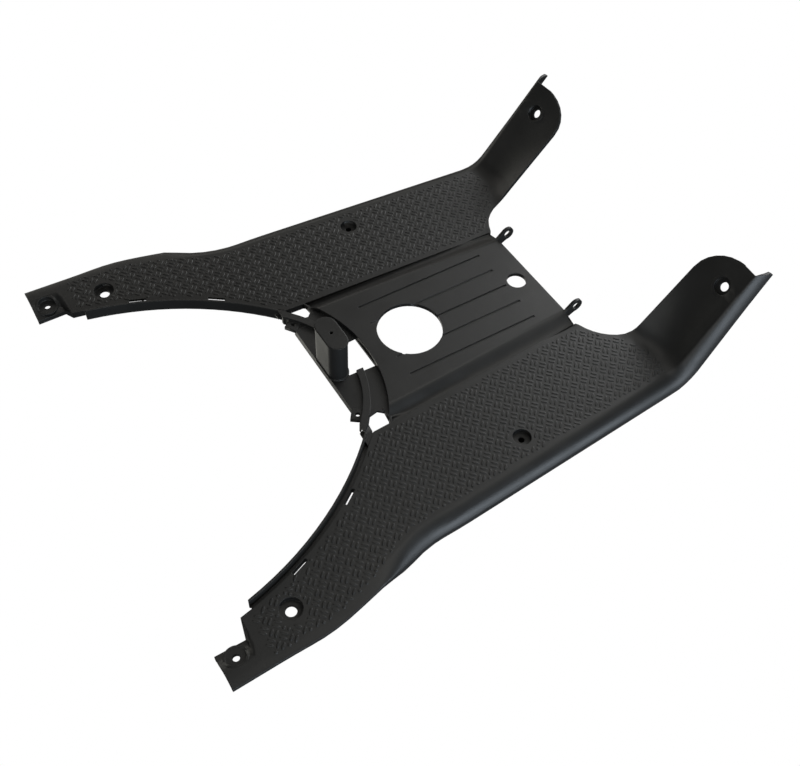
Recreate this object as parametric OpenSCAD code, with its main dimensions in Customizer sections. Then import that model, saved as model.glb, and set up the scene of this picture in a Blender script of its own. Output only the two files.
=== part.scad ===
// Scooter floorboard: two footboards joined by a raised tunnel tray,
// each rising at the front into a leg-shield wing and running back into
// a tail. Moulded in one piece of black plastic.
// Frame: origin on the large hole's axis at the tray's top face,
// +X towards the front of the scooter, +Z up, symmetric about Y = 0.

/* [Wall] */
// Thickness of the moulded skin
wall = 2.6; // [2:0.1:3.4]
// Height of the tray's top above the footboards
tray_rise = 5; // [3:0.5:6]

/* [Footboard] */
// From the large hole to the foot of the wing
wing_x = 190; // [182:1:200]
// From the large hole to the end of the tail
tail_x = 306; // [300:1:330]
// Half width of the tread at the foot of the wing
front_half = 167.5; // [162:0.5:172]
// Half width of the tread at its waist
waist_half = 186.5; // [182:0.5:190]
// Half width of the tread at the tail
tail_half = 227; // [222:0.5:234]
// Where the waist starts to widen, behind the large hole
waist_x = 106; // [98:1:112]
// Where the tail reaches its full width, behind the large hole
flare_x = 208; // [200:1:216]
// Width of the rounded edge along the board
edge_w = 13; // [10:0.5:15]
// Drop of the rounded edge along the board
edge_h = 11; // [8:0.5:12]
// Height of the skirt along the board, from the tread down
skirt_h = 15; // [13:0.5:18]
// Outward draft of the skirt's lower part
skirt_draft = 3; // [1:0.5:4]
// Width of the smooth rim along the tail
tail_rim_w = 8.5; // [6:0.5:10]
// Drop of the smooth rim along the tail
tail_rim_h = 1.2; // [0.8:0.2:2]
// Distance between the ribs under the board
rib_pitch = 42; // [36:1:46]
// Depth of the board's inner flange
flange_h = 7; // [5:0.5:9]

/* [Wing] */
// Slope of the wing's inner rim
wing_slope_in = 47; // [44:0.5:50]
// Slope of the wing's outer edge
wing_slope_out = 54; // [51:0.5:57]
// How far the crease runs forward towards the outside
crease_run = 8; // [4:0.5:12]
// Fillet between the board and the wing
crease_r = 24; // [16:1:30]
// How far the crease bows forward at its middle
crease_bow = 9; // [0:0.5:12]
// Width of the wing's rounded outer edge at its tip
tip_edge_w = 7; // [5:0.5:10]
// Length of the wing up its slope
wing_len = 119; // [110:1:126]
// Half gap between the two wings
wing_gap_half = 112.5; // [108:0.5:115]
// Radius of the front cut-out beside the tray
cove_r = 52; // [48:0.5:54]
// Length of the wing's rounded inner corner, up the slope
corner_len = 34; // [26:1:40]
// Width of the wing's rounded inner corner
corner_w = 42; // [34:1:46]
// Forward reach of the wing's outer tip
tip_reach = 9; // [4:0.5:12]

/* [Tray] */
// Diameter of the large hole
port_d = 65; // [56:1:70]
// Diameter of the small hole
small_d = 20; // [12:0.5:24]
// From the large hole to the small one
small_x = 128.8; // [122:0.2:133]
// From the large hole to the tray's front edge
tray_front = 146.5; // [144:0.5:148]
// Half width of the tray's top at the front
tray_front_half = 55.5; // [53:0.5:58]
// Half width of the tray's top at the rear
tray_rear_half = 65.5; // [62:0.5:68]
// Half width to the gutter at the front
gutter_front_half = 74; // [71:0.5:75]
// Half width to the gutter at the rear
gutter_rear_half = 83; // [81:0.5:84]
// Depth of the gutter at the front
gutter_front_h = 4.6; // [3.5:0.2:5]
// Depth of the gutter at the rear
gutter_rear_h = 8.6; // [7:0.2:9]
// Distance between grooves
groove_pitch = 24.2; // [18:0.2:26]
// Width of a groove
groove_w = 2.4; // [1.5:0.1:4]
// Depth of a groove
groove_h = 1; // [0.5:0.1:1.4]
// From the large hole to the grooves' front ends
groove_front = 115.6; // [100:0.5:117]

/* [Crossmember] */
// From the large hole back to the tray's rear edge
tray_rear = 49; // [47:0.5:51]
// Radius of the tray's rear edge
tray_rear_r = 148.8; // [140:1:156]
// From the large hole back to the crossmember's rim
rim_x = 63; // [61:0.5:65]
// Radius of the crossmember's rim
rim_r = 113; // [110:0.5:116]
// Width of the crossmember's rim
rim_w = 7; // [5:0.5:9]
// Height of the rim above the band
rim_h = 5.5; // [3:0.5:7]
// From the large hole back to the shelf's rear edge
shelf_x = 97; // [95:0.5:100]
// Half width of the shelf's rear edge
shelf_half = 57; // [55:0.5:59]
// Drop of the shelf below the tray's top
shelf_drop = 3; // [2:0.5:5]
// Half width of the window in front of the post
window_half = 20; // [14:0.5:21]

/* [Post] */
// Height of the post above the tray's top
post_h = 44; // [36:0.5:50]
// Thickness of the post
post_t = 20; // [17:0.5:20]
// Width of the post
post_w = 41; // [36:0.5:44]
// From the large hole back to the post's axis
post_x = 87; // [86:0.5:88]

/* [Arcs] */
// Radius of the board's inner edge along the tail
arc_r = 325.3; // [300:1:360]
// Half width to the front end of that edge
arc_front_half = 93.3; // [91:0.5:96]
// Width of the tread left beside the rear end of that edge
tail_w = 41; // [38:0.5:44]
// Width of the channel between the edge and the lip
channel_w = 4; // [3:0.5:5]
// Thickness of the lip
lip_t = 2; // [1.5:0.1:3]
// Height of the lip above the board
lip_up = 5; // [3:0.5:7]
// Depth of the lip below the board
lip_down = 7.6; // [7.4:0.2:10]
// Length of a slot beside the channel
slot_len = 17; // [12:0.5:22]
// Width of a slot beside the channel
slot_w = 3; // [2:0.1:4]

/* [Fixings] */
// Diameter of the screw holes
screw_d = 6; // [4:0.1:7]
// Diameter of the tail screws' holes
tail_hole_d = 10; // [6:0.5:11]
// Diameter of the wing screws' holes
wing_hole_d = 9; // [6:0.5:10]
// Diameter of the seats for the middle screws
mid_seat_d = 17.5; // [14:0.5:20]
// Depth of the screw seats
seat_h = 5; // [3:0.5:7]
// From the large hole to the middle screws
mid_x = 21.7; // [10:0.5:40]
// Half distance between the middle screws
mid_half = 158.2; // [150:0.5:162]
// Diameter of the seats for the tail screws
tail_seat_d = 20; // [16:0.5:22]
// From the large hole back to the tail screws
tail_screw_x = 237; // [230:0.5:240]
// From the edge of the tread in to the tail screws
tail_screw_in = 27.5; // [24:0.5:29]
// Drop of the end lug's inner side below the tread
lug_drop = 9; // [6:0.5:11]
// From the end of the tail to the end lug holes
lug_end = 14; // [12:0.5:17]
// From the edge of the tread in to the end lug holes
lug_edge = 15; // [13:0.5:18]
// Diameter of the end lug holes
lug_d = 6; // [4:0.1:7]
// Diameter of the wing screws' seats
wing_seat_d = 17; // [14:0.5:19]
// Distance of the wing screws up the slope
wing_screw_up = 92; // [86:0.5:98]
// Half distance between the wing screws
wing_screw_half = 148.5; // [144:0.5:152]
// Diameter of the holes in the front ears
ear_d = 8; // [6:0.5:9]
// Outer radius of the front ears
ear_r = 7.5; // [7:0.5:9]
// From the large hole to the ears' holes
ear_x = 158; // [156:0.5:162]
// Half distance between the ears
ear_half = 59; // [57:0.5:62]
// Diameter of the rear tabs' holes
tab_d = 4.5; // [3:0.1:5.5]
// Length and width of the rear tabs
tab_w = 12.5; // [11:0.5:14]
// Half distance between the rear tabs' holes
tab_half = 62.8; // [60:0.2:65]
// From the large hole back to the rear tabs' holes
tab_x = 95.5; // [94:0.5:97]

/* [Hidden] */

board_z = -tray_rise;
tail_screw_half = tail_half - tail_screw_in;
lug_x = tail_x - lug_end;
lug_half = tail_half - lug_edge;
// Length of a cutter that runs right through a wall.
through = tail_x / 10;
rim_cx = -rim_x - rim_r;
rear_cx = -tray_rear - tray_rear_r;
// The corner where the tray's gutter turns into the tail's arc.
corner_x = -tray_rear - 43;
arc_x = corner_x - 9;
// The plate's square end and the lug's inner side at the tail.
plate_end = tail_x - 31;
lug_in = lug_half - 11;
arc_end = plate_end - 12;
// The tail's arc runs through two ends, about a point across the middle.
arc_a = [arc_x, arc_front_half];
arc_b = [-plate_end, tail_half - tail_w];
arc_m = (arc_a + arc_b) / 2;
arc_d = arc_b - arc_a;
arc_k = sqrt(arc_r * arc_r - arc_d * arc_d / 4) / norm(arc_d);
arc_cx = arc_m[0] - arc_k * arc_d[1];
arc_cy = arc_m[1] + arc_k * arc_d[0];
// The lip stands inside the channel.
lip_r = arc_r - channel_w - lip_t;
// Floor of the end lug's round pocket.
lug_z = board_z - lug_drop * 0.62;
ear_t = 3;

function clamp01(t) = min(1, max(0, t));
function ease(t) = let (c = clamp01(t)) c * c * (3 - 2 * c);
function mix(a, b, t) = a + (b - a) * t;
function ramp(x, a, b) = clamp01((x - a) / (b - a));
// A broken line with its corners rounded over a width w.
function soft(x, pts, w) =
    (lookup(x - w, pts) + 2 * lookup(x - w / 2, pts) + 2 * lookup(x, pts)
    + 2 * lookup(x + w / 2, pts) + lookup(x + w, pts)) / 8;

// Half width of the flat tread along the board.
tread_pts = [
    [-tail_x - 60, tail_half + 2.4],
    [-flare_x - 18, tail_half - 3],
    [-flare_x, tail_half - 6.5],
    [-waist_x, waist_half],
    [-waist_x + 30, waist_half - 0.5],
    [wing_x + 10, front_half - 0.7],
    [wing_x + 60, front_half - 1]
];
function tread_half(x) = soft(x, tread_pts, 16);

// Along the tail the deep skirt fades into a thin rim.
function skirt_t(x) = ease(ramp(x, -waist_x - 60, -waist_x - 20));
function rim_t(x) = ease(ramp(x, -flare_x - 52, -waist_x - 24));
// On the wing the rounded edge narrows towards the tip.
function tip_t(x) = ramp(x, wing_x, wing_x + wing_len);
function edge_all(x) =
    mix(mix(tail_rim_w + 0.3, edge_w + skirt_draft, rim_t(x)), tip_edge_w, tip_t(x));
function edge_wx(x) = edge_all(x) - draft_x(x);
function edge_hx(x) = mix(tail_rim_h, edge_h, skirt_t(x));
function skirt_hx(x) = mix(tail_rim_h + wall + 0.5, skirt_h, skirt_t(x));
function draft_x(x) = mix(0.3, skirt_draft, skirt_t(x)) * (1 - 0.6 * tip_t(x));

// Half width to the gutter between the tray and the board.
function gutter_half(x) =
    mix(gutter_rear_half, gutter_front_half, (x + tray_rear) / (tray_front + tray_rear));
function arc_half(x) = arc_cy + sqrt(arc_r * arc_r - pow(x - arc_cx, 2));
function rear_corner(x) =
    mix(arc_half(arc_x), gutter_half(corner_x), ramp(x, arc_x, corner_x));
cove_cx = tray_front + 1.5 + cove_r;
cove_cy = wing_gap_half - cove_r;
function cove_half(x) =
    cove_cy + sqrt(max(0, cove_r * cove_r - pow(min(0, x - cove_cx), 2)));
// Half width to the board's inner edge.
function inner_half(x) =
    x < -plate_end - 3.5 ? lug_in :
    x < -plate_end ? mix(lug_in, arc_half(-plate_end), ramp(x, -plate_end - 3.5, -plate_end)) :
    x < arc_x ? arc_half(x) :
    x < corner_x ? rear_corner(x) :
    x < tray_front + 1.5 ? gutter_half(x) :
    max(gutter_half(x), cove_half(x));

// The wing follows two slopes: along its inner rim and its outer edge.
// s runs along the board in X to the crease, then up the slope.
function foot_at(s, t) =
    wing_x - 2 + crease_run * t
    + crease_bow * 4 * t * (1 - t) * (1 - ramp(s, wing_x + 12, wing_x + wing_len));
function bend(s, foot, slope) =
    let (tan_l = crease_r * tan(slope / 2))
    let (arc_l = crease_r * slope * PI / 180)
    let (s1 = foot - tan_l)
    s <= s1 ? [s, 0, 0] :
    s <= s1 + arc_l ?
        let (a = (s - s1) / crease_r * 180 / PI)
        [s1 + crease_r * sin(a), crease_r * (1 - cos(a)), a] :
        let (u = s - s1 - arc_l)
        [s1 + crease_r * sin(slope) + u * cos(slope),
            crease_r * (1 - cos(slope)) + u * sin(slope), slope];
function side_t(y) = clamp01((y - wing_gap_half) / (front_half - wing_gap_half));
// Point of the board's surface at s and y, moved d along the normal.
function surf(s, y, d) =
    let (t = side_t(y), a0 = mix(wing_slope_in, wing_slope_out, t))
    let (p = bend(s, foot_at(s, t), a0))
    [p[0] - d * sin(p[2]), y, board_z + p[1] + d * cos(p[2])];

s_end = wing_x + wing_len;
// The wing's inner corner is a quarter of an ellipse.
function wing_inner(s) =
    let (c = clamp01((s - (s_end - corner_len)) / corner_len))
    wing_gap_half + corner_w * (1 - sqrt(max(0, 1 - c * c * 0.985)));
function inner_s(s) = s < wing_x + 20 ? inner_half(s) : wing_inner(s);
// Depth of the inner flange: full beside the tray, a bead on the wing.
function flange_s(s) =
    s < -plate_end ? 5 :
    mix(flange_h, wall + 1.2, ease(ramp(s, tray_front - 12, tray_front + 20)));

edge_n = 6;
// The outer tip reaches forward as the skirt runs out at the top.
function tip_s(s) = tip_reach * pow(clamp01((s - (s_end - 46)) / 46), 2);
// One cross-section: flange, tread, rounded edge, skirt and back inside.
across = [0.2, 0.4, 0.6, 0.8];
function lug_at(s, t) = s < -plate_end - 3.5 ? lug_drop * (1 - ease(t * 1.25)) : 0;
function section(s) =
    let (yi = inner_s(s), yf = tread_half(min(s, wing_x + 20)))
    let (w = edge_wx(s), h = edge_hx(s), k = skirt_hx(s), d = draft_x(s))
    let (fl = flange_s(s), drop = mix(h, h - wall, skirt_t(s)), up = tip_s(s))
    let (l0 = lug_at(s, 0))
    concat(
        [surf(s, yi, -fl - l0), surf(s, yi, -l0)],
        [for (t = across) surf(s, mix(yi, yf, t), -lug_at(s, t))],
        [for (i = [0 : edge_n]) let (a = 90 * i / edge_n)
            surf(s + up * i / edge_n, yf + w * sin(a), -h * (1 - cos(a)))],
        [surf(s + up, yf + w + d, -k), surf(s + up, yf + w + d - wall, -k)],
        [for (i = [edge_n : -1 : 0]) let (a = 90 * i / edge_n)
            surf(s + up * i / edge_n, yf + (w - wall) * sin(a), -wall - drop * (1 - cos(a)))],
        [for (k = [len(across) - 1 : -1 : 0]) let (t = across[k])
            surf(s, mix(yi + wall, yf, t), -wall - lug_at(s, t))],
        [surf(s, yi + wall, -wall - l0), surf(s, yi + wall, -fl - l0)]
    );

// Stations: closer together where the outline turns.
stations = concat(
    [-tail_x, -tail_x + 12, -plate_end - 3.6, -plate_end],
    [for (i = [1 : 13]) mix(-plate_end, arc_x, i / 14)],
    [arc_x, corner_x],
    [for (t = [0.07, 0.13, 0.22, 0.38, 0.59, 0.8, 0.93]) mix(corner_x, tray_front, t)],
    [for (a = [0 : 10 : 90]) mix(tray_front + 1.5, wing_x, 1 - cos(a))],
    [for (x = [wing_x + 5 : 5 : wing_x + 24]) x],
    [for (i = [1 : 4]) mix(wing_x + 24, s_end - corner_len, i / 4)],
    [for (a = [15 : 12.5 : 90]) s_end - corner_len + corner_len * sin(a)]
);

module board() {
    rings = [for (s = stations) section(s)];
    n = len(rings[0]);
    m = len(rings);
    e = (m - 1) * n;
    faces = concat(
        [for (k = [0 : n / 2 - 2]) each [[n - 1 - k, k + 1, k], [n - 1 - k, n - 2 - k, k + 1]]],
        [for (j = [0 : m - 2]) for (i = [0 : n - 1])
            let (a = j * n + i, b = j * n + (i + 1) % n) each [[a, b, a + n], [b, b + n, a + n]]],
        [for (k = [0 : n / 2 - 2]) each
            [[e + k, e + k + 1, e + n - 1 - k], [e + k + 1, e + n - 2 - k, e + n - 1 - k]]]
    );
    polyhedron([for (r = rings) for (p = r) p], faces, convexity = 8);
}

// A ring sector about the tail arc's centre, between x0 and x1.
module tail_ring(r0, r1, z0, z1, x0, x1) {
    intersection() {
        translate([arc_cx, arc_cy, z0]) difference() {
            cylinder(r = r1, h = z1 - z0, $fn = 240);
            translate([0, 0, -1]) cylinder(r = r0, h = z1 - z0 + 2, $fn = 240);
        }
        translate([x0, gutter_front_half, z0 - 1])
            cube([x1 - x0, tail_half - gutter_front_half, z1 - z0 + 2]);
    }
}

// Channel floor and upstanding lip along the tail's inner edge.
module arc_lip() {
    tail_ring(lip_r, lip_r + lip_t, board_z - lip_down, board_z + lip_up,
        -arc_end, arc_x + 1);
    tail_ring(lip_r + 0.5, arc_r + wall / 2, board_z - flange_h + 0.4, board_z - flange_h + wall,
        -arc_end, arc_x + 1);
    // closed rounded end
    translate([-arc_end, arc_cy + sqrt(pow(lip_r + lip_t / 2, 2) - pow(-arc_end - arc_cx, 2)),
        board_z - lip_down])
        cylinder(d = lip_t, h = lip_down + lip_up, $fn = 24);
}

// Plateau of the tunnel tray with its sloped flanks.
module tray() {
    xs = [for (t = [0, 0.284, 0.487, 0.69, 1]) mix(arc_x + 1, tray_front, t)];
    t_of = [for (x = xs) (x + tray_rear) / (tray_front + tray_rear)];
    ring = [for (i = [0 : len(xs) - 1])
        let (x = xs[i], p = mix(tray_rear_half, tray_front_half, t_of[i]))
        let (g = gutter_half(x) + wall / 2)
        let (z = -mix(gutter_rear_h, gutter_front_h, t_of[i]))
        [[x, -g, z], [x, -p - 3, -0.8], [x, -p, 0], [x, p, 0], [x, p + 3, -0.8], [x, g, z],
            [x, g, z - wall], [x, p + 2, -0.8 - wall], [x, p - 1, -wall],
            [x, 1 - p, -wall], [x, -p - 2, -0.8 - wall], [x, -g, z - wall]]];
    n = 12;
    m = len(xs);
    e = (m - 1) * n;
    faces = concat(
        [for (k = [0 : n / 2 - 2]) each [[n - 1 - k, k + 1, k], [n - 1 - k, n - 2 - k, k + 1]]],
        [for (j = [0 : m - 2]) for (i = [0 : n - 1])
            let (a = j * n + i, b = j * n + (i + 1) % n) each [[a, b, a + n], [b, b + n, a + n]]],
        [for (k = [0 : n / 2 - 2]) each
            [[e + k, e + k + 1, e + n - 1 - k], [e + k + 1, e + n - 2 - k, e + n - 1 - k]]]
    );
    difference() {
        polyhedron([for (r = ring) for (p = r) p], faces, convexity = 4);
        translate([rear_cx, 0, -through]) cylinder(r = tray_rear_r, h = 2 * through, $fn = 240);
        translate([0, 0, -through]) cylinder(d = port_d, h = 2 * through, $fn = 96);
        translate([small_x, 0, -through]) cylinder(d = small_d, h = 2 * through, $fn = 64);
        for (k = [-2 : 2])
            translate([-tray_rear + 19, k * groove_pitch - groove_w / 2, -groove_h])
                cube([groove_front + tray_rear - 19, groove_w, 5]);
    }
    // raised rings round the holes
    for (h = [[0, port_d], [small_x, small_d]])
        translate([h[0], 0, -wall - 1.5]) difference() {
            cylinder(d = h[1] + 5, h = 2, $fn = 96);
            translate([0, 0, -1]) cylinder(d = h[1], h = 4, $fn = 96);
        }
    // front flange under the tray's straight edge
    translate([tray_front - wall - 0.5, -tray_front_half - 1, -6.3])
        cube([wall, 2 * tray_front_half + 2, 4.7]);
}

// Flat region between the tray's rear arc and the rim, at one height.
module crossmember() {
    z0 = board_z - wall;
    half = gutter_rear_half + 1;
    difference() {
        union() {
            // band
            intersection() {
                translate([rear_cx, 0, z0])
                    cylinder(r = tray_rear_r + wall, h = wall, $fn = 240);
                translate([arc_x - 9, -half, z0 - 1]) cube([9 - arc_x, 2 * half, wall + 2]);
            }
            // riser up to the tray
            intersection() {
                translate([rear_cx, 0, z0]) difference() {
                    cylinder(r = tray_rear_r + wall, h = tray_rise + wall / 2, $fn = 240);
                    translate([0, 0, -1])
                        cylinder(r = tray_rear_r, h = tray_rise + wall + 2, $fn = 240);
                }
                translate([arc_x - 9, -tray_rear_half, z0 - 1])
                    cube([9 - arc_x, 2 * tray_rear_half, through]);
            }
        }
        translate([rim_cx, 0, z0 - 5]) cylinder(r = rim_r, h = through, $fn = 240);
        corner_holes();
        window();
    }
    // rim with the shelf behind it
    difference() {
        intersection() {
            translate([rim_cx, 0, z0 - 3]) difference() {
                cylinder(r = rim_r, h = rim_h + wall + 3, $fn = 240);
                translate([0, 0, -1])
                    cylinder(r = rim_r - rim_w, h = rim_h + wall + 5, $fn = 240);
            }
            translate([arc_x + 0.5, -arc_front_half, z0 - 4])
                cube([-arc_x, 2 * arc_front_half, through]);
        }
        // hollow below
        translate([rim_cx, 0, z0 - 4]) difference() {
            cylinder(r = rim_r - 2, h = rim_h + 3, $fn = 240);
            translate([0, 0, -1])
                cylinder(r = rim_r - rim_w + 2, h = rim_h + 5, $fn = 240);
        }
        window();
    }
    difference() {
        intersection() {
            translate([rim_cx, 0, -shelf_drop - wall])
                cylinder(r = rim_r - rim_w + 1, h = wall, $fn = 240);
            translate([-shelf_x, -shelf_half, -through / 2]) cube([shelf_x, 2 * shelf_half, through]);
        }
        window();
    }
    // rear tabs with a small hole, square to the rim
    for (m = [0, 1]) mirror([0, m, 0]) translate([-tab_x, tab_half, 0])
        rotate([0, 0, asin(tab_half / (rim_r - rim_w))]) difference() {
            translate([-tab_w / 2, -tab_w / 2, -shelf_drop - wall - 0.4])
                cube([tab_w / 2 + 4.8, tab_w, wall + 1.2]);
            translate([0, 0, -through]) cylinder(d = tab_d, h = 2 * through, $fn = 32);
        }
    // flange under the shelf's rear edge
    translate([-shelf_x, -shelf_half, -shelf_drop - 8]) cube([wall, 2 * shelf_half, 8]);
}

module corner_holes() {
    for (m = [0, 1]) mirror([0, m, 0])
        translate([corner_x, gutter_rear_half, -through]) linear_extrude(height = 2 * through)
            polygon([[1, -14], [15, -16.5], [20, -12], [18, 7], [-1, 7]]);
}

module window() {
    translate([0, 0, -through]) linear_extrude(height = through + 5)
        polygon([[-tray_rear - 1.5, -window_half], [-tray_rear - 1.5, window_half],
            [-post_x + 8, window_half - 1], [-post_x + 8, -window_half + 1]]);
}

module stadium(w, t) {
    square([t, w - t], center = true);
    for (s = [-1, 1]) translate([0, s * (w - t) / 2]) circle(d = t, $fn = 64);
}

// Hollow post standing on the shelf.
module post() {
    translate([-post_x, 0, 0]) difference() {
        union() {
            translate([0, 0, -shelf_drop - 5])
                linear_extrude(height = post_h + shelf_drop + 5) stadium(post_w, post_t);
            translate([0, 0, post_h - 1.6])
                linear_extrude(height = 1.2) stadium(post_w + 1.4, post_t + 1.4);
            translate([0, 0, -shelf_drop])
                linear_extrude(height = 1.6) stadium(post_w + 2, post_t + 2);
        }
        translate([0, 0, -shelf_drop - 8]) linear_extrude(height = post_h + shelf_drop + 8 - wall)
            stadium(post_w - 2 * wall, post_t - 2 * wall);
        translate([0, 0, 0]) cylinder(d = 3.4, h = post_h + 5, $fn = 24);
    }
}

module ear() {
    translate([ear_x, ear_half - ear_t / 2, 3]) rotate([-90, 0, 0]) difference() {
        union() {
            cylinder(r = ear_r, h = ear_t, $fn = 48);
            linear_extrude(height = ear_t)
                polygon([[-ear_x + tray_front - 5, 6], [-4.5, -6], [6.4, 4],
                    [-ear_x + tray_front + 5, 11], [-ear_x + tray_front - 5, 11]]);
        }
        translate([0, 0, -1]) cylinder(d = ear_d, h = ear_t + 2, $fn = 48);
    }
    // root of the ear on the tray's flank
    translate([tray_front - 6, ear_half - ear_t / 2, -8]) cube([12, ear_t, 6.6]);
}

// Seat with its wall, under a screw.
module seat_wall(x, y, d, h) {
    translate([x, y, board_z - h - wall]) cylinder(d = d + 2 * wall, h = h + wall - 0.2, $fn = 64);
}

module seat_cut(x, y, d, h, hole) {
    translate([x, y, board_z - h]) cylinder(d = d, h = h + 10, $fn = 64);
    translate([x, y, board_z - h - through]) cylinder(d = hole, h = 2 * through, $fn = 48);
}

// The wing screw stands square to the wing.
module at_wing_screw() {
    s = wing_x + wing_screw_up;
    t = side_t(wing_screw_half);
    translate(surf(s, wing_screw_half, 0))
        rotate([0, -mix(wing_slope_in, wing_slope_out, t), 0]) children();
}

module ribs() {
    back = -waist_x - 18;
    front = tray_front - rib_pitch;
    for (x = [back, back - rib_pitch, back - 2 * rib_pitch, -tray_rear + 4, front - rib_pitch, front])
        let (a = inner_half(x) + wall / 2, b = tread_half(x) + edge_wx(x) / 2 - 1)
        let (h = x < back - 20 ? wall + 1.6 : flange_h - 0.6)
        translate([x - 0.9, a, board_z - h]) cube([1.8, b - a, h - wall / 2]);
    // one long rib down the middle of the tread
    translate([-tray_rear - 11, (gutter_front_half + waist_half) / 2, board_z - flange_h + 1])
        cube([tray_rear + tray_front + 4, 1.8, flange_h - wall / 2 - 1.2]);
}

module side() {
    difference() {
        union() {
            board();
            arc_lip();
            ribs();
            seat_wall(mid_x, mid_half, mid_seat_d, seat_h);
            seat_wall(-tail_screw_x, tail_screw_half, tail_seat_d, seat_h);
            translate([-lug_x, lug_half, lug_z - wall])
                cylinder(d = lug_d + 15, h = wall + 0.2, $fn = 48);
            at_wing_screw() translate([0, 0, -4 - wall])
                cylinder(d = wing_seat_d + 2 * wall, h = 4 + wall - 0.4, $fn = 64);
        }
        seat_cut(mid_x, mid_half, mid_seat_d, seat_h, screw_d);
        seat_cut(-tail_screw_x, tail_screw_half, tail_seat_d, seat_h, tail_hole_d);
        translate([-lug_x, lug_half, lug_z]) cylinder(d = lug_d + 11, h = 12, $fn = 48);
        translate([-lug_x, lug_half, board_z - through]) cylinder(d = lug_d, h = through, $fn = 48);
        at_wing_screw() {
            translate([0, 0, -4]) cylinder(d = wing_seat_d, h = 12, $fn = 64);
            translate([0, 0, -through]) cylinder(d = wing_hole_d, h = through, $fn = 48);
        }
        // two slots beside the channel
        for (a = slot_angles)
            translate([arc_cx, arc_cy, 0]) rotate([0, 0, a])
                translate([arc_r + 0.4, -slot_len / 2, board_z - through / 2])
                    cube([slot_w, slot_len, through]);
    }
}
slot_angles = [54.7, 68.4];

module floorboard() {
    color([0.09, 0.09, 0.1]) {
        tray();
        crossmember();
        post();
        for (m = [0, 1]) mirror([0, m, 0]) {
            side();
            ear();
        }
    }
}

floorboard();
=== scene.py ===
import math

import bmesh
import bpy
from mathutils import Matrix, Vector
from mathutils.bvhtree import BVHTree
from mathutils.kdtree import KDTree


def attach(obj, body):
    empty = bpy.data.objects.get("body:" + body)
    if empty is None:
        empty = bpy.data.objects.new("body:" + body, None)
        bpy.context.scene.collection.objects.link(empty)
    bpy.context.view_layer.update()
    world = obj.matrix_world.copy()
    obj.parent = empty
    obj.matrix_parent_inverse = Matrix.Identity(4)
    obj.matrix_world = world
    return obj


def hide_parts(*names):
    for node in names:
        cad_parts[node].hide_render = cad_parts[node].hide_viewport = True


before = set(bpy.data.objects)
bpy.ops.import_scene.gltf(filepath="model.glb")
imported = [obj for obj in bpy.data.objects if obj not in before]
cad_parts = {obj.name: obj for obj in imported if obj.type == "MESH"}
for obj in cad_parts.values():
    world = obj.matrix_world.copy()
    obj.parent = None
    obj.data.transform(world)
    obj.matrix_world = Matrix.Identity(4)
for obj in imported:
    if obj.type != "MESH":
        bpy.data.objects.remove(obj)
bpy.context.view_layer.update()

scene = bpy.context.scene
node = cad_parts["floorboard"]

# Camera: behind and to the right of the floorboard, looking down at it. Its place
# was solved from the part's own symmetry.
camera_data = bpy.data.cameras.new("camera")
camera = bpy.data.objects.new("camera", camera_data)
scene.collection.objects.link(camera)
scene.camera = camera
camera_data.sensor_width = 36.0
camera_data.lens = 45.08
camera_data.clip_start = 0.01
camera.matrix_world = Matrix((
    (0.85042, 0.39869, -0.34326, -0.36595),
    (-0.52504, 0.68454, -0.50570, -0.52722),
    (0.03336, 0.61029, 0.79148, 0.74250),
    (0.0, 0.0, 0.0, 1.0)))

# Black polypropylene, as it leaves the mould: a fine spark-eroded grain over the whole
# part, gloss that varies slowly from place to place, and edges just off sharp.
plastic = bpy.data.materials.new("black_plastic")
plastic.use_nodes = True
tree = plastic.node_tree
shader = tree.nodes["Principled BSDF"]
coords = tree.nodes.new("ShaderNodeTexCoord")

tone = tree.nodes.new("ShaderNodeTexNoise")
tone.inputs["Scale"].default_value = 9.0
tone.inputs["Detail"].default_value = 5.0
tone.inputs["Roughness"].default_value = 0.55
tree.links.new(coords.outputs["Object"], tone.inputs["Vector"])
tone_ramp = tree.nodes.new("ShaderNodeValToRGB")
tone_ramp.color_ramp.elements[0].position = 0.35
tone_ramp.color_ramp.elements[0].color = (0.0062, 0.0062, 0.0060, 1)
tone_ramp.color_ramp.elements[1].position = 0.68
tone_ramp.color_ramp.elements[1].color = (0.0092, 0.0092, 0.0088, 1)
tree.links.new(tone.outputs["Fac"], tone_ramp.inputs["Fac"])
tree.links.new(tone_ramp.outputs["Color"], shader.inputs["Base Color"])

gloss = tree.nodes.new("ShaderNodeTexNoise")
gloss.inputs["Scale"].default_value = 28.0
gloss.inputs["Detail"].default_value = 4.0
tree.links.new(coords.outputs["Object"], gloss.inputs["Vector"])
gloss_range = tree.nodes.new("ShaderNodeMapRange")
gloss_range.inputs["From Min"].default_value = 0.3
gloss_range.inputs["From Max"].default_value = 0.7
gloss_range.inputs["To Min"].default_value = 0.40
gloss_range.inputs["To Max"].default_value = 0.50
tree.links.new(gloss.outputs["Fac"], gloss_range.inputs["Value"])
tree.links.new(gloss_range.outputs["Result"], shader.inputs["Roughness"])
shader.inputs["IOR"].default_value = 1.49
shader.inputs["Specular IOR Level"].default_value = 0.5

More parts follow.
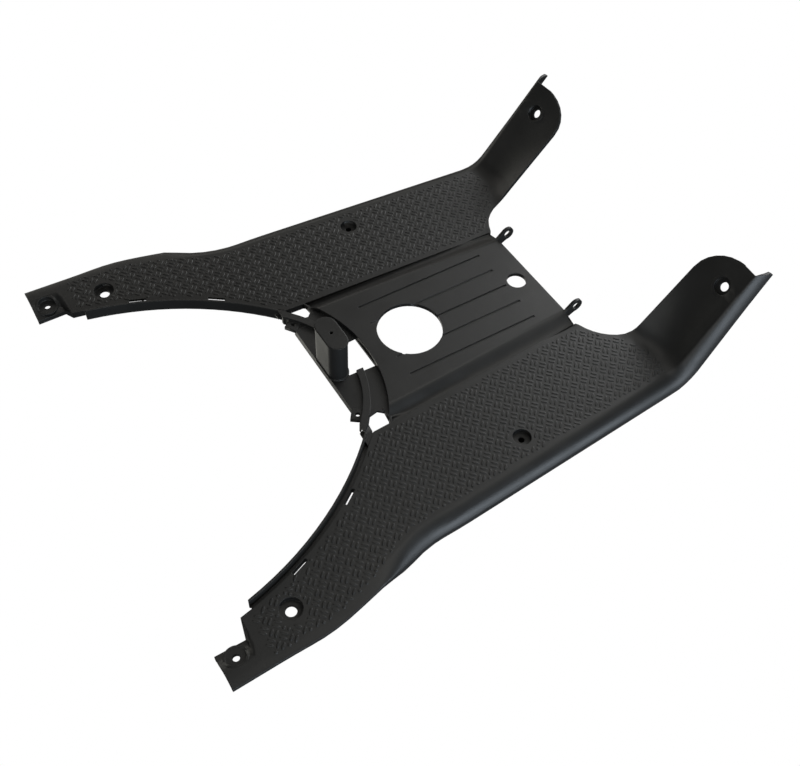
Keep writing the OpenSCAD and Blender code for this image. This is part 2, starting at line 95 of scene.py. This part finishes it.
grain = tree.nodes.new("ShaderNodeTexNoise")
grain.inputs["Scale"].default_value = 1500.0
grain.inputs["Detail"].default_value = 2.0
tree.links.new(coords.outputs["Object"], grain.inputs["Vector"])
pores = tree.nodes.new("ShaderNodeTexVoronoi")
pores.inputs["Scale"].default_value = 700.0
tree.links.new(coords.outputs["Object"], pores.inputs["Vector"])
relief = tree.nodes.new("ShaderNodeMath")
relief.operation = "MULTIPLY_ADD"
relief.inputs[1].default_value = 0.4
tree.links.new(pores.outputs["Distance"], relief.inputs[0])
tree.links.new(grain.outputs["Fac"], relief.inputs[2])
bump = tree.nodes.new("ShaderNodeBump")
bump.inputs["Strength"].default_value = 0.35
bump.inputs["Distance"].default_value = 0.00012
tree.links.new(relief.outputs["Value"], bump.inputs["Height"])
soft_edge = tree.nodes.new("ShaderNodeBevel")
soft_edge.samples = 6
soft_edge.inputs["Radius"].default_value = 0.0007
tree.links.new(soft_edge.outputs["Normal"], bump.inputs["Normal"])
tree.links.new(bump.outputs["Normal"], shader.inputs["Normal"])

# The moulding: one thin sheet of injection moulded plastic, with no other piece in it.
# It starts from the CAD node's own mesh, welded for smooth shading.
weld = 0.00001
body = bmesh.new()
body.from_mesh(node.data)
bmesh.ops.remove_doubles(body, verts=body.verts, dist=weld)

# Outer edge: where the board rolls over into its skirt. The CAD's edge and skirt meet in
# a faint kink, so the points of each of its rings are moved onto one swelling curve.
# Sizes in this section are in mm.
mm = 0.001
wing_x = 190.0
wing_len = 119.0
gap_half = 112.5
front_half = 167.5
tread_line = ((-366, 229.4), (-226, 224), (-208, 220.5), (-106, 186.5), (-76, 186),
              (200, 166.8), (250, 166.5))
crease_r = 24.0
rings = [-306, -294, -278.6, -275] + [-275 + 174 * k / 14 for k in range(1, 14)] + [-101, -92]
rings += [-92 + 238.5 * t for t in (0.07, 0.13, 0.22, 0.38, 0.59, 0.8, 0.93)]
rings += [148 + 42 * (1 - math.cos(math.radians(a))) for a in range(0, 91, 10)]
rings += [195, 200, 205, 210] + [214 + 61 * k / 4 for k in range(1, 5)]
rings += [275 + 34 * math.sin(math.radians(15 + 12.5 * k)) for k in range(7)]


def ramp(x, a, b):
    return min(1.0, max(0.0, (x - a) / (b - a)))


def ease(t):
    return t * t * (3 - 2 * t)


def tread_edge(x):
    total = 0
    for shift, weight in ((-16, 1), (-8, 2), (0, 2), (8, 2), (16, 1)):
        at = min(250, max(-366, x + shift))
        for (xa, ya), (xb, yb) in zip(tread_line, tread_line[1:]):
            if xa <= at <= xb:
                total += weight * (ya + (yb - ya) * (at - xa) / (xb - xa))
                break
    return total / 8


def on_board(s, y, d):
    # the point s along the board, y across it and d above its surface
    t = ramp(y, gap_half, front_half)
    slope = math.radians(47 + 7 * t)
    flat = 1 - ramp(s, wing_x + 12, wing_x + wing_len)
    foot = wing_x - 2 + 8 * t + 36 * t * (1 - t) * flat
    bend_from = foot - crease_r * math.tan(slope / 2)
    angle = min(slope, max(0.0, (s - bend_from) / crease_r))
    past = max(0.0, s - bend_from - crease_r * slope)
    x = min(s, bend_from) + crease_r * math.sin(angle) + past * math.cos(slope)
    z = crease_r * (1 - math.cos(angle)) + past * math.sin(slope)
    return Vector((x - d * math.sin(angle), y, -5 + z + d * math.cos(angle)))


finder = KDTree(len(body.verts))
for vert in body.verts:
    finder.insert(vert.co, vert.index)
finder.balance()
body.verts.ensure_lookup_table()
start_a = math.radians(12)
end_a = math.radians(76)
edge_steps = 6
match = 0.0002
for s in rings:
    deep = ease(ramp(s, -166, -126))
    tip = ramp(s, wing_x, wing_x + wing_len)
    draft = (0.3 + 2.7 * deep) * (1 - 0.6 * tip)
    wide = 8.8 + 7.2 * ease(ramp(s, -260, -130))
    wide += (7 - wide) * tip
    drop = 1.2 + 9.8 * deep
    reach = 9 * ramp(s, 263, 309) ** 2
    line = tread_edge(min(s, wing_x + 20))
    for k in range(edge_steps + 1):
        turn = math.radians(90 * k / edge_steps)
        at = s + reach * k / edge_steps
        old = on_board(at, line + (wide - draft) * math.sin(turn), -drop * (1 - math.cos(turn)))
        turn = start_a + (end_a - start_a) * k / edge_steps
        out = (math.sin(turn) - math.sin(start_a)) / (math.sin(end_a) - math.sin(start_a))
        fall = (math.cos(start_a) - math.cos(turn)) / (math.cos(start_a) - math.cos(end_a))
        new = on_board(at, line + (wide - draft / 3) * out, -drop * fall)
        for side in (1, -1):
            _, index, gap = finder.find((old.x * mm, old.y * mm * side, old.z * mm))
            if gap < match:
                body.verts[index].co = (new.x * mm, new.y * mm * side, new.z * mm)

# Tray flanks: the slopes from the raised tray down to the boards. They are flat strips in
# the CAD, cut lengthways here and laid on a soft S curve with a narrow groove at the foot.
# Each pair of values is at the strip's rear end and at its front end.
tread_z = -0.005
flank_x = (-0.049, 0.1465)
flank_top = (0.0655, 0.0555)
flank_foot = (0.0843, 0.0753)
flank_drop = (0.0086, 0.0046)
curve_drop = (0.0082, 0.0056)
gutter_drop = (0.0104, 0.0067)
shoulder = 0.003
shoulder_drop = 0.0008
for side in (1, -1):
    strip = []
    for face in body.faces:
        c = face.calc_center_median()
        t = (c.x - flank_x[0]) / (flank_x[1] - flank_x[0])
        top = flank_top[0] + (flank_top[1] - flank_top[0]) * t
        foot = flank_foot[0] + (flank_foot[1] - flank_foot[0]) * t
        u = (c.y * side - top) / (foot - top)
        inside = 0 < u < 1 and -0.09 < c.x < 0.1466
        if inside and face.normal.z > 0.85 and -0.0088 < c.z < 0.0:
            drop = flank_drop[0] + (flank_drop[1] - flank_drop[0]) * t
            first = shoulder / (foot - top)
            line = -shoulder_drop * min(1, u / first) - (drop - shoulder_drop) * ramp(u, first, 1)
            if abs(c.z - line) < 0.0006:
                strip.append(face)
    for u in (0.12, 0.24, 0.36, 0.48, 0.6, 0.72, 0.82, 0.88, 0.93, 0.96, 0.99):
        a = Vector((flank_x[0], side * (flank_top[0] + (flank_foot[0] - flank_top[0]) * u), 0))
        b = Vector((flank_x[1], side * (flank_top[1] + (flank_foot[1] - flank_top[1]) * u), 0))
        geometry = list({e for f in strip for e in f.edges} | {v for f in strip for v in f.verts}) + strip
        cut = bmesh.ops.bisect_plane(body, geom=geometry, dist=0.000001, plane_co=a,
                                     plane_no=(b - a).cross(Vector((0, 0, 1))))
        strip = [g for g in cut["geom"] if isinstance(g, bmesh.types.BMFace)]
    flank = set(strip)
    for vert in {v for f in strip for v in f.verts}:
        # points that the flat board shares keep their place
        if any(f.normal.z > 0.999 and abs(f.calc_center_median().z - tread_z) < 0.0001
               for f in vert.link_faces if f not in flank):
            continue
        t = (vert.co.x - flank_x[0]) / (flank_x[1] - flank_x[0])
        top = flank_top[0] + (flank_top[1] - flank_top[0]) * t
        foot = flank_foot[0] + (flank_foot[1] - flank_foot[0]) * t
        u = min(1.0, max(0.0, (vert.co.y * side - top) / (foot - top)))
        curve = curve_drop[0] + (curve_drop[1] - curve_drop[0]) * t
        gutter = gutter_drop[0] + (gutter_drop[1] - gutter_drop[0]) * t
        edge = flank_drop[0] + (flank_drop[1] - flank_drop[0]) * t
        base = curve * ease(min(1, u / 0.88)) + (edge - curve) * ramp(u, 0.88, 1)
        vert.co.z = -base - (gutter - edge) * (ramp(u, 0.93, 0.96) - ramp(u, 0.96, 0.99))
body.normal_update()

surface = BVHTree.FromBMesh(body)
bmesh.ops.dissolve_limit(body, angle_limit=math.radians(0.4), verts=body.verts, edges=body.edges)

# Tread: moulded into the board for grip, a basket weave of short raised bars with two bars
# in each cell, turned 45 degrees to the board. It stops short of the holes and the edges.
cell = 0.0083
bar_length = 0.0068
bar_width = 0.0024
bar_height = 0.0005
bar_sink = 0.0003
inner_margin = 0.0045
outer_margin = 0.0012
tread_rear = -0.268
margins = ((0, -inner_margin), (0, outer_margin), (outer_margin, 0), (-outer_margin, 0))
turn = math.radians(45)
along = Vector((math.cos(turn), math.sin(turn), 0))
across = Vector((-math.sin(turn), math.cos(turn), 0))
down = Vector((0, 0, -1))
bars = []
reach = int(0.42 / cell)
for i in range(-reach, reach + 1):
    for j in range(-reach, reach + 1):
        centre = along * (i * cell) + across * (j * cell)
        if centre.y < 0.065 or centre.y > 0.245 or centre.x < tread_rear or centre.x > 0.19:
            continue
        run, step = (along, across) if (i + j) % 2 else (across, along)
        for k in (-0.25, 0.25):
            middle = centre + step * (k * cell)
            # a bar that doesn't fit whole is tried as its two halves
            for part, size in ((0, 1.0), (-0.27, 0.42), (0.27, 0.42)):
                at = middle + run * (part * bar_length)
                half = run * (size * bar_length / 2)
                ends = (at - half, at + half, at)
                clear = True
                for end in ends:
                    for dx, dy in margins:
                        hit, normal, _, _ = surface.ray_cast((end.x + dx, end.y + dy, 0.2), down)
                        if hit is None or abs(hit.z - tread_z) > 0.0002 or normal.z < 0.99:
                            clear = False
                            break
                    if not clear:
                        break
                if clear:
                    bars.append((at, run, step, size * bar_length))
                    if part == 0:
                        break

tread = bmesh.new()
for middle, run, step, length in bars:
    place = Matrix.Translation((middle.x, middle.y, tread_z + (bar_height - bar_sink) / 2))
    place @= Matrix.Rotation(math.atan2(run.y, run.x), 4, "Z")
    place @= Matrix.Diagonal((length, bar_width, 1, 1)) @ Matrix.Rotation(math.radians(22.5), 4, "Z")
    bmesh.ops.create_cone(tread, cap_ends=True, cap_tris=False, segments=8, radius1=0.54, radius2=0.38,
                          depth=bar_height + bar_sink, matrix=place)
tread_mesh = bpy.data.meshes.new("tread")
tread.to_mesh(tread_mesh)
tread.free()
body.from_mesh(tread_mesh)
tread_mesh.transform(Matrix.Diagonal((1, -1, 1, 1)))
tread_mesh.flip_normals()
body.from_mesh(tread_mesh)
bpy.data.meshes.remove(tread_mesh)

# Small plates at the curved rear edge: one closes the corner between rim, lip and board,
# the other the gap between each rear tab and the shelf. Both are part of the moulding.
corner_plate = ((-0.1032, 0.0800), (-0.104, 0.0972), (-0.0905, 0.0868), (-0.0955, 0.0835),
                (-0.0968, 0.0775))
tab_plate = ((-0.094, 0.0555), (-0.0848, 0.0555), (-0.0856, 0.0605), (-0.0885, 0.0625),
             (-0.0925, 0.058))
for outline, z_low, thick in ((corner_plate, -0.0073, 0.0020), (tab_plate, -0.0054, 0.0023)):
    for mirror_y in (1, -1):
        base = body.faces.new([body.verts.new((x, y * mirror_y, z_low)) for x, y in outline])
        grown = bmesh.ops.extrude_face_region(body, geom=[base])
        top = [g for g in grown["geom"] if isinstance(g, bmesh.types.BMVert)]
        bmesh.ops.translate(body, vec=(0, 0, thick), verts=top)
        plate = list({f for vert in top for f in vert.link_faces} | {base})
        bmesh.ops.recalc_face_normals(body, faces=plate)

# End lugs: each tail ends in a flat lug in a round pocket. This is the pocket's wall, which
# stands on the lug's floor and reaches the sloping plate beside it.
lug_x = -0.292
lug_y = 0.212
pocket_r = 0.0085
pocket_wall = 0.002
pocket_floor = -0.0108
pocket_rise = 0.0052
for mirror_y in (1, -1):
    wall = []
    inner_low = []
    inner_high = []
    outer_low = []
    outer_high = []
    for k in range(25):
        turn = math.radians(-8 + 196 * k / 24)
        beside = pocket_r + pocket_wall + 0.001
        hit, _, _, _ = surface.ray_cast((lug_x + beside * math.cos(turn),
                                         (lug_y + beside * math.sin(turn)) * mirror_y, 0.2), down)
        lift = min(pocket_rise, max(0.0, hit.z - pocket_floor - 0.0001)) if hit else 0.0
        high = pocket_floor + 0.0002 + lift
        for ring, radius, z in ((inner_low, pocket_r, pocket_floor), (inner_high, pocket_r, high),
                                (outer_low, pocket_r + pocket_wall, pocket_floor),
                                (outer_high, pocket_r + pocket_wall, high)):
            ring.append(body.verts.new((lug_x + radius * math.cos(turn),
                                        (lug_y + radius * math.sin(turn)) * mirror_y, z)))
    for k in range(24):
        wall.append(body.faces.new((inner_low[k], inner_low[k + 1], inner_high[k + 1], inner_high[k])))
        wall.append(body.faces.new((inner_high[k], inner_high[k + 1], outer_high[k + 1], outer_high[k])))
        wall.append(body.faces.new((outer_high[k], outer_high[k + 1], outer_low[k + 1], outer_low[k])))
    bmesh.ops.recalc_face_normals(body, faces=wall)

# Middle screw seats: a short sleeve below each, with a bore for the screw.
seat_x = 0.0217
seat_y = 0.1582
sleeve_top = -0.0124
sleeve_length = 0.0068
for mirror_y in (1, -1):
    at = Matrix.Translation((seat_x, seat_y * mirror_y, sleeve_top))
    rims = []
    sleeve = set()
    for radius in (0.0031, 0.0050):
        circle = bmesh.ops.create_circle(body, cap_ends=False, segments=24, radius=radius, matrix=at)
        edges = list({e for v in circle["verts"] for e in v.link_edges})
        grown = bmesh.ops.extrude_edge_only(body, edges=edges)
        low = [g for g in grown["geom"] if isinstance(g, bmesh.types.BMVert)]
        bmesh.ops.translate(body, vec=(0, 0, -sleeve_length), verts=low)
        rims += {e for v in low for e in v.link_edges if all(w in low for w in e.verts)}
        sleeve |= {f for v in low for f in v.link_faces}
    sleeve |= set(bmesh.ops.bridge_loops(body, edges=rims)["faces"])
    bmesh.ops.recalc_face_normals(body, faces=list(sleeve))

# The finished moulding takes the CAD node's place.
moulding_mesh = bpy.data.meshes.new("moulding")
body.to_mesh(moulding_mesh)
body.free()
moulding_mesh.materials.clear()
moulding_mesh.materials.append(plastic)
moulding = bpy.data.objects.new("moulding", moulding_mesh)
scene.collection.objects.link(moulding)
for polygon in moulding_mesh.polygons:
    polygon.use_smooth = True
moulding_mesh.set_sharp_from_angle(angle=math.radians(32))
even = moulding.modifiers.new("even", "WEIGHTED_NORMAL")
even.mode = "FACE_AREA"
even.weight = 80
even.keep_sharp = True
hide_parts("floorboard")
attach(moulding, "root")

# Lights: soft boxes all round. The right one gives the skirt its cool sheen, and the low
# one behind on the left lights the post's side.
lights = (
    ("front", (1.60, 0.60, 0.90), (0.15, 0.0, 0.0), 1.5, 0.9, 20.0, (0.99, 1.0, 1.0)),
    ("top", (0.40, 0.00, 1.60), (0.10, 0.0, 0.0), 1.2, 1.2, 5.5, (1.0, 0.98, 0.92)),
    ("right", (0.10, -1.30, 0.18), (0.0, -0.1, 0.0), 2.0, 0.7, 24.0, (0.80, 0.90, 1.0)),
    ("left", (0.20, 1.40, 0.60), (0.0, 0.0, 0.0), 1.4, 0.8, 3.0, (1.0, 0.97, 0.90)),
    ("rear_left", (-0.45, 0.95, -0.45), (-0.08, 0.0, 0.0), 1.2, 1.2, 6.0, (1.0, 0.99, 0.90)),
    ("rear_right", (-1.30, -0.70, 0.70), (-0.05, 0.0, 0.0), 1.0, 0.8, 4.5, (1.0, 0.99, 0.94)))
for name, place, target, width, height, power, colour in lights:
    data = bpy.data.lights.new(name, "AREA")
    data.shape = "RECTANGLE"
    data.size = width
    data.size_y = height
    data.energy = power
    data.color = colour
    lamp = bpy.data.objects.new(name, data)
    scene.collection.objects.link(lamp)
    lamp.location = place
    direction = Vector(target) - Vector(place)
    lamp.rotation_euler = direction.to_track_quat("-Z", "Y").to_euler()

# World: white to the camera, a dim grey room to the object.
world = bpy.data.worlds.new("world")
scene.world = world
world.use_nodes = True
sky = world.node_tree
background = sky.nodes["Background"]
background.inputs["Color"].default_value = (1, 1, 1, 1)
rays = sky.nodes.new("ShaderNodeLightPath")
level = sky.nodes.new("ShaderNodeMapRange")
level.inputs["To Min"].default_value = 0.06
level.inputs["To Max"].default_value = 1.0
sky.links.new(rays.outputs["Is Camera Ray"], level.inputs["Value"])
sky.links.new(level.outputs["Result"], background.inputs["Strength"])

scene.view_settings.view_transform = "Standard"
